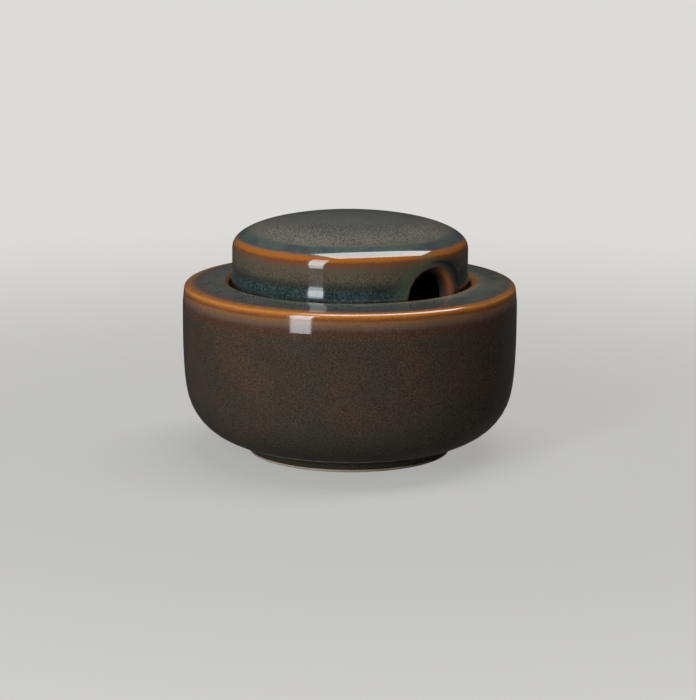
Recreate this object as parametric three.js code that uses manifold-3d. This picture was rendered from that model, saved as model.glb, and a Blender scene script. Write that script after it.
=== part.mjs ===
// A lidded stoneware sugar bowl. The bowl is a round, thick-walled pot with a broad, nearly level shoulder. The
// lid is a domed cap whose skirt drops into a recess in the shoulder and stands on the ledge there. A half-round
// notch in the skirt leaves room for a spoon's handle. Both pieces are turned about the same upright axis.
// Millimetres, +Z up. The origin is the middle of the foot ring, on the table, and the notch faces -Y.

import * as THREE from "three";
import { mergeVertices } from "three/addons/utils/BufferGeometryUtils.js";
import Module from "manifold-3d";

// Bowl, outside.
const BOWL_RADIUS = 52.5;
const SHOULDER_HEIGHT = 53.6; // top of the shoulder at the rim
const SHOULDER_RISE = 0.8; // how much higher the shoulder stands beside the lid
const RIM_ROUND = 2.1;
const WAIST_HEIGHT = 29.3; // where the upright wall begins to lean in
const WALL_DRAFT = THREE.MathUtils.degToRad(5.7); // lean of the lower wall
const WALL_EASE = 174; // radius of the soft bend at the waist
const CORNER_ROUND = 20.4; // from the wall into the underside
const UNDERSIDE_RISE = THREE.MathUtils.degToRad(17.3); // slope of the underside, out from the foot

// Bowl, foot ring.
const FOOT_RADIUS = 31.8;
const FOOT_WIDTH = 3.4;
const FOOT_HEIGHT = 2.6;
const FOOT_RECESS = 1.7; // depth of the hollow inside the ring
const FOOT_ROUND = 0.6;

// Bowl, thickness of the clay.
const BOWL_WALL = 4.5;
const FLOOR_THICKNESS = 5.4;
const SHOULDER_THICKNESS = 5.0;
const LEDGE_THICKNESS = 4.6;
const SHOULDER_FILLET = 5.0; // inside, between the wall and the shoulder

// Lid.
const LID_RADIUS = 37.1;
const LID_SKIRT = 15.0; // from the lid's base to where the dome begins
const LID_CROWN = 10.2; // from the top of the skirt to the middle of the dome
const CROWN_EDGE = 7.8; // how strongly the dome carries on straight up from the skirt
const CROWN_FLAT = 12.0; // how strongly the dome carries on level from its middle
const LID_WALL = 4.6;
const LID_TOP_THICKNESS = 4.6;
const LID_TUCK_HEIGHT = 8.0; // how far up the skirt its lower edge begins to tuck in
const LID_LAND = 0.6; // width of the flat under the skirt that stands on the ledge
const LID_BASE_INNER_ROUND = 0.8;

// Spoon notch: an arch with upright sides.
const NOTCH_RADIUS = 10.4;
const NOTCH_SPRING = 4.2; // height above the lid's base where the sides become an arch

// Seat of the lid in the bowl.
const LID_CLEARANCE = 0.7; // around the skirt
const SEAT_GAP = 0.3; // under the skirt
const RECESS_DEPTH = 4.6; // from the shoulder down to the ledge
const RECESS_ROUND = 1.6; // roll from the shoulder down into the recess
const LEDGE_MARGIN = 0.8; // how far the ledge reaches in past the lid's wall
const LEDGE_ROUND = 1.4;

// Fineness of the round surfaces.
const TURN_STEPS = 60;
const CHORD_ERROR = 0.08;
const DOME_STEPS = 12;

// Heights and radii that follow from the sizes above.
const RECESS_TOP = SHOULDER_HEIGHT + SHOULDER_RISE;
const LEDGE_HEIGHT = RECESS_TOP - RECESS_DEPTH;
const RECESS_RADIUS = LID_RADIUS + LID_CLEARANCE;
const LID_INNER_RADIUS = LID_RADIUS - LID_WALL;
const MOUTH_RADIUS = LID_INNER_RADIUS - LEDGE_MARGIN;
const LID_BASE = LEDGE_HEIGHT + SEAT_GAP;
const FLOOR_TOP = FOOT_RECESS + FLOOR_THICKNESS;

const wasm = await Module();
wasm.setup();

// Number of straight steps that keep an arc within the chord error.
function arcSteps(radius, sweep) {
  const step = 2 * Math.acos(1 - CHORD_ERROR / Math.max(radius, 2 * CHORD_ERROR));
  return Math.max(2, Math.ceil(Math.abs(sweep) / step));
}

// Points along an elliptic arc in the section plane, where x is the radius and y the height.
function ellipseArc(centre, width, height, from, to) {
  const steps = arcSteps(Math.max(width, height), to - from);
  return new THREE.EllipseCurve(centre.x, centre.y, width, height, from, to, to < from).getPoints(steps);
}

function arc(centre, radius, from, to) {
  return ellipseArc(centre, radius, radius, from, to);
}

// A section corner at a radius and a height, rounded off where a round is given.
function corner(radius, height, round = 0) {
  return { at: new THREE.Vector2(radius, height), round };
}

// Half of the angle between the two sides that meet at a corner.
function halfAngleAt(corners, i) {
  const back = corners[i - 1].at.clone().sub(corners[i].at);
  const ahead = corners[i + 1].at.clone().sub(corners[i].at);
  return 0.5 * back.angleTo(ahead);
}

// A round at one corner that starts and ends at the given reach along the two sides.
function roundCorner(corners, i, reach) {
  const here = corners[i].at;
  const back = corners[i - 1].at.clone().sub(here).setLength(reach);
  const ahead = corners[i + 1].at.clone().sub(here).setLength(reach);
  const halfAngle = halfAngleAt(corners, i);
  const toCentre = back.clone().add(ahead).setLength(reach / Math.cos(halfAngle));
  const from = back.clone().sub(toCentre).angle();
  const to = ahead.clone().sub(toCentre).angle();
  const sweep = Math.atan2(Math.sin(to - from), Math.cos(to - from));
  return arc(here.clone().add(toCentre), reach * Math.tan(halfAngle), from, from + sweep);
}

// The points of an open outline with its corners rounded. Where two rounds would run into each other on a short
// side, both are eased back to meet there.
function roundedOutline(corners) {
  const wanted = corners.map(({ round }, i) => (round > 0 ? round / Math.tan(halfAngleAt(corners, i)) : 0));
  const room = (i) => corners[i].at.distanceTo(corners[i + 1].at) / (wanted[i] + wanted[i + 1]);
  return corners.flatMap((here, i) => {
    if (wanted[i] === 0) return [here.at];
    return roundCorner(corners, i, wanted[i] * Math.min(1, room(i - 1), room(i)));
  });
}

// Where a line from one point, at a slope given as a direction, meets another such line.
function meet(point, direction, otherPoint, otherDirection) {
  const gap = otherPoint.clone().sub(point);
  const along = gap.cross(otherDirection) / direction.cross(otherDirection);
  return point.clone().addScaledVector(direction, along);
}

// A closed mesh with shared vertices, as a solid that can be cut.
function solidOf(geometry) {
  const bare = geometry.clone();
  bare.deleteAttribute("normal");
  bare.deleteAttribute("uv");
  const merged = mergeVertices(bare, 1e-4);
  const index = merged.index.array;
  const triangles = [];
  for (let i = 0; i < index.length; i += 3) {
    const [a, b, c] = [index[i], index[i + 1], index[i + 2]];
    if (a !== b && b !== c && c !== a) triangles.push(a, b, c);
  }
  return new wasm.Manifold(
    new wasm.Mesh({
      numProp: 3,
      vertProperties: new Float32Array(merged.attributes.position.array),
      triVerts: new Uint32Array(triangles),
    }),
  );
}

function geometryOf(solid) {
  const mesh = solid.getMesh();
  const geometry = new THREE.BufferGeometry();
  geometry.setAttribute("position", new THREE.BufferAttribute(mesh.vertProperties, 3));
  geometry.setIndex(new THREE.BufferAttribute(mesh.triVerts, 1));
  geometry.computeVertexNormals();
  return geometry;
}

// Turns an outline about the upright axis. The outline runs from the axis under the piece, round the outside,
// and back to the axis.
function turn(outline) {
  return solidOf(new THREE.LatheGeometry(outline, TURN_STEPS).rotateX(Math.PI / 2));
}

// The bowl's section: under the foot, up the outside, over the shoulder into the recess, and down the inside.
function bowlOutline() {
  const upright = new THREE.Vector2(0, 1);
  const level = new THREE.Vector2(1, 0);
  const lean = new THREE.Vector2(Math.sin(WALL_DRAFT), Math.cos(WALL_DRAFT));
  const slope = new THREE.Vector2(Math.cos(UNDERSIDE_RISE), Math.sin(UNDERSIDE_RISE));

  const footTop = new THREE.Vector2(FOOT_RADIUS, FOOT_HEIGHT);
  const waist = new THREE.Vector2(BOWL_RADIUS, WAIST_HEIGHT);
  const outerCorner = meet(footTop, slope, waist, lean);

  const inward = new THREE.Vector2(-lean.y, lean.x).multiplyScalar(BOWL_WALL);
  const innerLeanStart = waist.clone().add(inward);
  const innerUpright = new THREE.Vector2(BOWL_RADIUS - BOWL_WALL, WAIST_HEIGHT);
  const innerWaist = meet(innerUpright, upright, innerLeanStart, lean);
  const innerCorner = meet(new THREE.Vector2(0, FLOOR_TOP), level, innerLeanStart, lean);

  return roundedOutline([
    corner(0, FOOT_RECESS),
    corner(FOOT_RADIUS - FOOT_WIDTH, FOOT_RECESS, FOOT_ROUND),
    corner(FOOT_RADIUS - FOOT_WIDTH, 0, FOOT_ROUND),
    corner(FOOT_RADIUS, 0, FOOT_ROUND),
    corner(footTop.x, footTop.y, FOOT_ROUND),
    corner(outerCorner.x, outerCorner.y, CORNER_ROUND),
    corner(waist.x, waist.y, WALL_EASE),
    corner(BOWL_RADIUS, SHOULDER_HEIGHT, RIM_ROUND),
    corner(RECESS_RADIUS, RECESS_TOP, RECESS_ROUND),
    corner(RECESS_RADIUS, LEDGE_HEIGHT),
    corner(MOUTH_RADIUS, LEDGE_HEIGHT, LEDGE_ROUND),
    corner(MOUTH_RADIUS, LEDGE_HEIGHT - LEDGE_THICKNESS, LEDGE_ROUND),
    corner(BOWL_RADIUS - BOWL_WALL, SHOULDER_HEIGHT - SHOULDER_THICKNESS, SHOULDER_FILLET),
    corner(innerWaist.x, innerWaist.y, WALL_EASE - BOWL_WALL),
    corner(innerCorner.x, innerCorner.y, CORNER_ROUND - BOWL_WALL),
    corner(0, FLOOR_TOP),
  ]);
}

// The lid's dome as seen in section: it leaves the skirt upright and ends level on the axis.
function domeCurve(radius, skirtTop, crown, edge, flat) {
  const top = skirtTop + crown;
  return new THREE.CubicBezierCurve(
    new THREE.Vector2(radius, skirtTop),
    new THREE.Vector2(radius, skirtTop + edge),
    new THREE.Vector2(flat, top),
    new THREE.Vector2(0, top),
  ).getPoints(DOME_STEPS);
}

// The lid's section before the notch is cut: under the dome, down inside the skirt, round its base, up the
// outside and over the dome.
function lidOutline() {
  const skirtTop = LID_BASE + LID_SKIRT;
  const innerEdge = CROWN_EDGE * (LID_INNER_RADIUS / LID_RADIUS);
  const innerFlat = CROWN_FLAT * (LID_INNER_RADIUS / LID_RADIUS);
  const innerSkirtTop = skirtTop - LID_TOP_THICKNESS;
  const innerBase = new THREE.Vector2(LID_INNER_RADIUS + LID_BASE_INNER_ROUND, LID_BASE + LID_BASE_INNER_ROUND);
  const tuck = LID_WALL - LID_LAND - LID_BASE_INNER_ROUND;
  const tuckCentre = new THREE.Vector2(LID_RADIUS - tuck, LID_BASE + LID_TUCK_HEIGHT);

  return [
    ...domeCurve(LID_INNER_RADIUS, innerSkirtTop, LID_CROWN, innerEdge, innerFlat).reverse(),
    ...arc(innerBase, LID_BASE_INNER_ROUND, Math.PI, 1.5 * Math.PI),
    ...ellipseArc(tuckCentre, tuck, LID_TUCK_HEIGHT, -Math.PI / 2, 0),
    ...domeCurve(LID_RADIUS, skirtTop, LID_CROWN, CROWN_EDGE, CROWN_FLAT),
  ];
}

// A solid arch that reaches from the lid's middle out past its skirt, towards -Y, and down past its base.
function notchCutter() {
  const shape = new THREE.Shape();
  shape.moveTo(-NOTCH_RADIUS, -2 * NOTCH_SPRING);
  shape.lineTo(NOTCH_RADIUS, -2 * NOTCH_SPRING);
  shape.lineTo(NOTCH_RADIUS, 0);
  shape.absarc(0, 0, NOTCH_RADIUS, 0, Math.PI);
  const depth = 2 * LID_RADIUS;
  const curveSegments = arcSteps(NOTCH_RADIUS, Math.PI);
  const prism = new THREE.ExtrudeGeometry(shape, { depth, bevelEnabled: false, curveSegments });
  prism.rotateX(Math.PI / 2);
  prism.translate(0, 0, LID_BASE + NOTCH_SPRING);
  return solidOf(prism);
}

function makeBowl() {
  const glaze = new THREE.MeshStandardMaterial({ color: 0x4d4238, roughness: 0.18, metalness: 0 });
  const bowl = new THREE.Mesh(geometryOf(turn(bowlOutline())), glaze);
  bowl.name = "bowl";
  return bowl;
}

function makeLid() {
  const glaze = new THREE.MeshStandardMaterial({ color: 0x55584f, roughness: 0.18, metalness: 0 });
  const lid = new THREE.Mesh(geometryOf(turn(lidOutline()).subtract(notchCutter())), glaze);
  lid.name = "lid";
  return lid;
}

const sugarBowl = new THREE.Group();
sugarBowl.add(makeBowl(), makeLid());

export default sugarBowl;
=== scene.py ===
"""A glazed stoneware sugar bowl with a lift-off lid, modelled and finished for rendering.

The file is laid out as an add-on. The sizes and glaze colours are properties, each piece and the studio have
an operator of their own, and a panel in the 3D view's sidebar lists them.
"""

import math

import bmesh
import bpy
from bpy.props import FloatProperty, FloatVectorProperty, IntProperty, PointerProperty
from mathutils import Color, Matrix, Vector
from mathutils.geometry import interpolate_bezier, intersect_point_line


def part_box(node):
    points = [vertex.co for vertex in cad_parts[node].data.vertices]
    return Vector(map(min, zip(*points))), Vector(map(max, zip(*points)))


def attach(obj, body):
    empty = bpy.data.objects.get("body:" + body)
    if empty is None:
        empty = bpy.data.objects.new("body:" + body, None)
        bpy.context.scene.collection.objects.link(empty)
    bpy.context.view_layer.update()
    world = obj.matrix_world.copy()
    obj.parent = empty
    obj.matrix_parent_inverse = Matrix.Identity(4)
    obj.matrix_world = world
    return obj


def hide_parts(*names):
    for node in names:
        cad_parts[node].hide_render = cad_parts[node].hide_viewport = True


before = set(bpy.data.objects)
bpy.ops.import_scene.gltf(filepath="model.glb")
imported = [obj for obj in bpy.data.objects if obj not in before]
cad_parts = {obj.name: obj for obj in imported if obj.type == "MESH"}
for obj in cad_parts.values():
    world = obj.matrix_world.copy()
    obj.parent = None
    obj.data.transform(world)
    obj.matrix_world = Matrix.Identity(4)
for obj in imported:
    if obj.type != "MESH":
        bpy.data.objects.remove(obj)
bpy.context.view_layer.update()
BOWL_LOW, BOWL_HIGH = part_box("bowl")
LID_LOW, LID_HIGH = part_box("lid")

bl_info = {
    "name": "Sugar Bowl with Lid",
    "version": (1, 0, 0),
    "blender": (4, 5, 0),
    "location": "View3D > Sidebar > Sugar Bowl",
    "description": "Models a glazed stoneware sugar bowl, its lift-off lid and a small photo studio",
    "category": "Add Mesh",
}

MM = 0.001
FULL_LEVEL = 255  # of a display colour's red, green or blue


# Properties


def size(name, millimetres, description):
    """A length property whose default is given in millimetres."""
    default = millimetres * MM
    return FloatProperty(name=name, description=description, default=default, unit="LENGTH", precision=4)


def slope(name, degrees, description):
    """An angle property whose default is given in degrees."""
    default = math.radians(degrees)
    return FloatProperty(name=name, description=description, default=default, subtype="ANGLE")


def watts(name, default, description):
    """A property for a lamp's power."""
    return FloatProperty(name=name, description=description, default=default, unit="POWER")


def count(name, default, description):
    """A property for a number of steps."""
    return IntProperty(name=name, description=description, default=default, min=1)


def linear_colour(name, default, description):
    """A colour property whose default is given as linear shares."""
    return FloatVectorProperty(
        name=name, description=description, default=default, subtype="COLOR", size=3, min=0.0, max=1.0
    )


def display_colour(name, red, green, blue, description):
    """A colour property whose default is given as display values from 0 to 255."""
    display = Color((red / FULL_LEVEL, green / FULL_LEVEL, blue / FULL_LEVEL))
    return linear_colour(name, tuple(display.from_srgb_to_scene_linear()), description)


class BowlSizes(bpy.types.PropertyGroup):
    """Sizes of the bowl's section."""

    radius: size("Radius", BOWL_HIGH.x / MM, "Outer radius of the upright wall")
    shoulder_height: size("Shoulder Height", 53.6, "Top of the shoulder at the rim")
    shoulder_rise: size("Shoulder Rise", 0.8, "How much higher the shoulder stands beside the lid")
    rim_round: size("Rim Round", 1.8, "Rounding of the rim")
    waist_height: size("Waist Height", 29.3, "Where the upright wall begins to lean in")
    wall_draft: slope("Wall Draft", 5.7, "Lean of the lower wall")
    wall_ease: size("Wall Ease", 174.0, "Radius of the soft bend at the waist")
    corner_round: size("Corner Round", 20.4, "Rounding from the wall into the underside")
    underside_rise: slope("Underside Rise", 17.3, "Slope of the underside, out from the foot")
    foot_radius: size("Foot Radius", 31.8, "Outer radius of the foot ring")
    foot_width: size("Foot Width", 3.4, "Width of the foot ring")
    foot_height: size("Foot Height", 2.6, "Height of the foot ring outside")
    foot_recess: size("Foot Recess", 1.7, "Depth of the hollow inside the foot ring")
    foot_round: size("Foot Round", 0.6, "Rounding of the foot ring's edges")
    wall: size("Wall", 4.5, "Thickness of the wall")
    floor: size("Floor", 5.4, "Thickness of the floor")
    shoulder_thickness: size("Shoulder Thickness", 5.0, "Thickness of the shoulder at the wall")
    shoulder_fillet: size("Shoulder Fillet", 5.0, "Inner rounding between wall and shoulder")
    ledge_thickness: size("Ledge Thickness", 4.6, "Thickness of the ledge that carries the lid")
    ledge_round: size("Ledge Round", 1.4, "Rounding of the ledge's inner edge")
    recess_radius: size("Recess Radius", 37.8, "Radius of the recess that takes the lid")
    recess_depth: size("Recess Depth", 4.6, "From the shoulder down to the ledge")
    recess_round: size("Recess Round", 1.6, "Roll from the shoulder down into the recess")
    recess_fillet: size("Recess Fillet", 0.64, "Rounding in the recess's corner, beside the ledge")
    mouth_radius: size("Mouth Radius", 31.7, "Radius of the mouth inside the ledge")
    glaze_drop: size("Glaze Drop", 6.0, "From the rim down to the roll where the thick glaze begins")
    glaze_step: size("Glaze Step", 0.55, "How much the thin glaze at the rim stands back")
    glaze_roll: size("Glaze Roll", 12.0, "Rounding of the roll where the thick glaze begins")
    bare_height: size("Bare Height", 0.7, "How far up the foot ring is left unglazed")


class LidSizes(bpy.types.PropertyGroup):
    """Sizes of the lid's section and of its spoon notch."""

    radius: size("Radius", LID_HIGH.x / MM, "Outer radius of the skirt")
    base: size("Base", LID_LOW.z / MM, "Height of the skirt's base above the table")
    skirt: size("Skirt", 15.0, "From the base to where the dome begins")
    crown: size("Crown", 10.2, "From the top of the skirt to the middle of the dome")
    crown_edge: size("Crown Edge", 7.8, "How strongly the dome carries on straight up from the skirt")
    crown_flat: size("Crown Flat", 12.0, "How strongly the dome carries on level from its middle")
    wall: size("Wall", 4.6, "Thickness of the skirt")
    top: size("Top", 4.6, "Thickness of the dome")
    tuck_height: size("Tuck Height", 5.0, "How far up the skirt its lower edge begins to tuck in")
    pool_full: size("Pool Full", 5.5, "How far up the skirt the pooled glaze is at its thickest")
    pool_top: size("Pool Top", 7.7, "How far up the skirt the pooled glaze reaches")
    pool_bulge: size("Pool Bulge", 0.35, "How much the pooled glaze stands out from the thin glaze above it")
    land: size("Land", 0.6, "Width of the flat that stands on the ledge")
    inner_round: size("Inner Round", 0.8, "Rounding of the base's inner edge")
    notch_radius: size("Notch Radius", 9.95, "Half of the notch's width outside, and radius of its arch")
    notch_inner: size("Notch Inner", 7.4, "Half of the notch's width inside: its wall narrows inwards")
    notch_drop: size("Notch Drop", 2.4, "How far the notch's crown falls from the outside to the inside")
    notch_spring: size("Notch Spring", 3.3, "Height above the base where the sides become an arch")
    bare_height: size("Bare Height", 0.35, "How far up the skirt's base is left unglazed")


class GlazeColours(bpy.types.PropertyGroup):
    """Colours of the reactive glaze, from where it is thin to where it pools, and of the bare clay."""

    # Partly painted: the crest's thin glaze, lightened by a painted sheen of reflected light.
    honey_and_sheen: display_colour("Honey", 176, 118, 62, "Thinnest glaze, on the very crest of the rim")
    amber: display_colour("Amber", 152, 88, 31, "Thin glaze on the edges")
    copper: display_colour("Copper", 127, 89, 59, "Thin glaze beside an edge")
    rust: display_colour("Rust", 112, 64, 34, "Thin glaze just below an edge")
    oxblood: display_colour("Oxblood", 75, 49, 39, "Line where the thin glaze ends")
    umber: display_colour("Umber", 97, 76, 64, "Between the thin glaze and the olive")
    olive: display_colour("Olive", 84, 80, 64, "Middle of the lid's skirt")
    ink: display_colour("Ink", 46, 48, 43, "Dark belt above the pooled glaze")
    pool: display_colour("Pool", 32, 46, 43, "Thick, pooled glaze")
    fleck: display_colour("Fleck", 56, 75, 73, "Light flecks in the pooled glaze")
    slate: display_colour("Slate", 57, 62, 68, "Blue-grey ring inside an edge")
    verdigris: display_colour("Verdigris", 67, 77, 72, "Green patches in the blue-grey ring")
    haze: display_colour("Haze", 62, 61, 62, "Grey of the shoulder")
    sage: display_colour("Sage", 96, 94, 82, "Grey-green beside the blue-grey ring and the recess")
    mist: display_colour("Mist", 86, 84, 83, "Paler grey on the cooler side of the shoulder")
    fern: display_colour("Fern", 80, 93, 71, "Green halo round the notch")
    straw: display_colour("Straw", 124, 118, 98, "Pale yellow-grey beside the recess, on the flame side")
    sand: display_colour("Sand", 107, 104, 95, "Warm ring on the dome")
    stone: display_colour("Stone", 90, 92, 88, "Middle of the dome")
    pepper: display_colour("Pepper", 73, 69, 62, "Dark specks on the dome")
    mauve: display_colour("Mauve", 77, 57, 44, "Warm part of the bowl's wall")
    moss: display_colour("Moss", 58, 53, 45, "Cool part of the bowl's wall")
    bare_clay: display_colour("Bare Clay", 196, 181, 160, "Unglazed clay under the foot and the lid")


class StudioSettings(bpy.types.PropertyGroup):
    """The floor, the lamps and the camera.

    The camera's turn is taken round from the notch, and the lamps' turns round from the camera.
    """

    floor_colour: display_colour("Floor", 156, 155, 152, "Colour of the floor")
    backdrop_colour: display_colour("Backdrop", 220, 219, 216, "Colour of the floor far from the object")
    floor_width: size("Floor Width", 6000.0, "Width of the floor")
    backdrop_start: size("Backdrop Start", 90.0, "Where the floor begins to become the backdrop")
    backdrop_end: size("Backdrop End", 450.0, "Where the floor has become the backdrop")
    near_paleness: FloatProperty(
        name="Near Paleness",
        description="Share of the backdrop's colour in the floor near the object",
        default=0.52,
        subtype="FACTOR",
        min=0.0,
        max=1.0,
    )
    world_light: FloatProperty(name="World Light", description="Even light from all round", default=0.038)
    key_turn: slope("Key Turn", -32.4, "Direction of the tall softbox")
    key_rise: slope("Key Rise", 21.0, "Height of the tall softbox, as an angle")
    key_distance: size("Key Distance", 1000.0, "Distance of the tall softbox")
    key_width: size("Key Width", 260.0, "Width of the tall softbox")
    key_height: size("Key Height", 1000.0, "Height of the tall softbox")
    key_power: watts("Key Power", 5.8, "Power of the tall softbox")
    key_colour: linear_colour("Key Colour", (0.9, 0.97, 1.0), "Tint of the tall softbox and the strip")
    fill_power: watts("Fill Power", 4.0, "Power of the lamp in the same place that stays out of the gloss")
    strip_rise: slope("Strip Rise", 18.5, "Height of the strip in front of the tall softbox, as an angle")
    strip_distance: size("Strip Distance", 980.0, "Distance of the bright strip")
    strip_height: size("Strip Height", 470.0, "Height of the bright strip")
    strip_power: watts("Strip Power", 1.35, "Power of the bright strip")
    top_height: size("Top Height", 900.0, "Height of the softbox overhead")
    top_right: size("Top Right", 165.0, "How far right of the object the softbox overhead hangs")
    top_back: size("Top Back", 110.0, "How far behind the object the softbox overhead hangs")
    top_turn: slope("Top Turn", 22.0, "How far the right end of the softbox overhead is turned back")
    top_width: size("Top Width", 900.0, "Width of the softbox overhead")
    top_depth: size("Top Depth", 240.0, "Depth of the softbox overhead")
    top_power: watts("Top Power", 7.2, "Power of the softbox overhead, which stays out of the gloss")
    glow_below: size("Glow Below", 10.0, "How far below it the panel hangs that shows only in the gloss")
    glow_right: size("Glow Right", 305.0, "How far right of the object that panel hangs")
    glow_back: size("Glow Back", -20.0, "How far behind the object that panel hangs")
    glow_width: size("Glow Width", 1170.0, "Width of that panel")
    glow_depth: size("Glow Depth", 465.0, "Depth of that panel")
    glow_power: watts("Glow Power", 15.5, "Power of that panel")
    camera_distance: size("Camera Distance", 945.0, "From the middle of the foot to the camera")
    camera_turn: slope("Camera Turn", -44.0, "Direction of the camera, round from the notch")
    camera_rise: slope("Camera Rise", 13.81, "Height of the camera, as an angle")
    camera_roll: slope("Camera Roll", 0.33, "Turn of the camera about its own line of sight")
    aim_height: size("Aim Height", 31.8, "Height of the point at the middle of the picture")
    aim_left: size("Aim Left", 0.5, "How far left of the axis the middle of the picture lies")
    lens: FloatProperty(
        name="Lens", description="Focal length for a 36 mm frame", default=152.9, unit="CAMERA"
    )


class PieceFineness(bpy.types.PropertyGroup):
    """How finely the round pieces are stepped, and how far they are smoothed after that."""

    bowl_steps: count("Bowl Steps", 144, "Steps round the bowl")
    bowl_smoothing: count("Bowl Smoothing", 1, "How often the bowl's faces are divided when it is smoothed")
    lid_steps: count("Lid Steps", 96, "Steps round the lid, a multiple of four")
    lid_smoothing: count("Lid Smoothing", 2, "How often the lid's faces are divided when it is smoothed")
    longest_step: size("Longest Step", 6.0, "Longest straight step along a section")
    round_step: slope("Round Step", 18.0, "Largest step along a rounded corner")


class SugarBowlSettings(bpy.types.PropertyGroup):
    """Everything a user can change."""

    bowl: PointerProperty(type=BowlSizes)
    lid: PointerProperty(type=LidSizes)
    glaze: PointerProperty(type=GlazeColours)
    studio: PointerProperty(type=StudioSettings)
    fineness: PointerProperty(type=PieceFineness)


# Drawing and turning a section

NO_LENGTH = 0.001 * MM  # a stretch this short isn't drawn
WELD = 0.005 * MM  # points nearer than this become one
ROUND_STEPS = 2  # fewest steps along a rounded corner


def section_point(radius, height):
    """A point of a section: the sections are drawn in the XZ plane."""
    return Vector((radius, 0.0, height))


def start_section(name, height):
    """Adds a plane, merges it to one vertex and sets that on the axis, at the section's first point."""
    bpy.ops.object.select_all(action="DESELECT")
    bpy.ops.mesh.primitive_plane_add(size=MM, location=(0.0, 0.0, 0.0))
    piece = bpy.context.object
    piece.name = name
    piece.data.name = name
    bpy.ops.object.mode_set(mode="EDIT")
    bpy.ops.mesh.select_mode(type="VERT")
    bpy.ops.mesh.merge(type="CENTER")
    bpy.ops.transform.translate(value=(0.0, 0.0, height))
    return piece


def draw_straight(here, there, longest=math.inf):
    """Extrudes the last vertex to a new place, in equal steps no longer than asked."""
    steps = max(1, math.ceil((there - here).length / longest))
    step = (there - here) / steps
    for _ in range(steps):
        bpy.ops.mesh.extrude_vertices_move(TRANSFORM_OT_translate={"value": step})


def draw_round(centre, sweep, largest):
    """Spins the last vertex about a centre in the section's plane."""
    steps = max(ROUND_STEPS, math.ceil(abs(sweep) / largest))
    bpy.ops.mesh.spin(steps=steps, angle=sweep, center=centre, axis=(0.0, 1.0, 0.0))


def half_angle_at(corners, i):
    """Half of the angle between the two sides that meet at a corner."""
    here = corners[i][0]
    return 0.5 * (corners[i - 1][0] - here).angle(corners[i + 1][0] - here)


def rounding_reaches(corners):
    """How far along its sides each round reaches. Rounds that would meet on a short side share it."""
    last = len(corners) - 1
    wanted = [0.0] * len(corners)
    for i in range(1, last):
        if corners[i][1] > 0:
            wanted[i] = corners[i][1] / math.tan(half_angle_at(corners, i))
    reaches = []
    for i, reach in enumerate(wanted):
        share = 1.0
        for a, b in ((i - 1, i), (i, i + 1)):
            if reach > 0:
                side = (corners[b][0] - corners[a][0]).length
                share = min(share, side / (wanted[a] + wanted[b]))
        reaches.append(reach * share)
    return reaches


def draw_rounded_section(corners, fineness):
    """Draws a section from corners, each a point and its rounding, with exact rounds."""
    reaches = rounding_reaches(corners)
    here = corners[0][0]
    for i in range(1, len(corners)):
        corner = corners[i][0]
        if reaches[i] == 0:
            draw_straight(here, corner, fineness.longest_step)
            here = corner
            continue
        back = (corners[i - 1][0] - corner).normalized()
        ahead = (corners[i + 1][0] - corner).normalized()
        half = half_angle_at(corners, i)
        start = corner + back * reaches[i]
        end = corner + ahead * reaches[i]
        if (start - here).length > NO_LENGTH:
            draw_straight(here, start, fineness.longest_step)
        centre = corner + (back + ahead).normalized() * (reaches[i] / math.cos(half))
        turns_left = back.cross(ahead).y > 0
        sweep = math.pi - 2 * half
        draw_round(centre, sweep if turns_left else -sweep, fineness.round_step)
        here = end


def turn_section(steps):
    """Spins the whole section about the upright axis and closes the seam and the poles."""
    bpy.ops.mesh.select_all(action="SELECT")
    bpy.ops.mesh.spin(steps=steps, angle=2 * math.pi, center=(0.0, 0.0, 0.0), axis=(0.0, 0.0, 1.0))
    bpy.ops.mesh.select_all(action="SELECT")
    bpy.ops.mesh.remove_doubles(threshold=WELD)
    bpy.ops.mesh.normals_make_consistent(inside=False)


def smooth_piece(piece, levels):
    """Rounds the piece off with a subdivision surface and shades it smooth."""
    smoothing = piece.modifiers.new("Smoothing", "SUBSURF")
    smoothing.levels = levels
    smoothing.render_levels = levels
    bpy.ops.object.modifier_apply(modifier=smoothing.name)
    bpy.ops.object.shade_smooth()


def meet(point, direction, other_point, other_direction):
    """Where two lines in the section's plane cross."""
    gap = other_point - point
    along = gap.cross(other_direction).y / direction.cross(other_direction).y
    return point + direction * along


def assign_faces(piece, material, belongs):
    """Gives a material to the faces that a test picks out by their middle and normal."""
    piece.data.materials.append(material)
    piece.active_material_index = len(piece.data.materials) - 1
    bpy.ops.object.mode_set(mode="EDIT")
    bpy.ops.mesh.select_mode(type="FACE")
    bpy.ops.mesh.select_all(action="DESELECT")
    mesh = bmesh.from_edit_mesh(piece.data)
    for face in mesh.faces:
        face.select_set(belongs(face.calc_center_median(), face.normal))
    bmesh.update_edit_mesh(piece.data)
    bpy.ops.object.material_slot_assign()
    bpy.ops.object.mode_set(mode="OBJECT")


# Bowl


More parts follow.
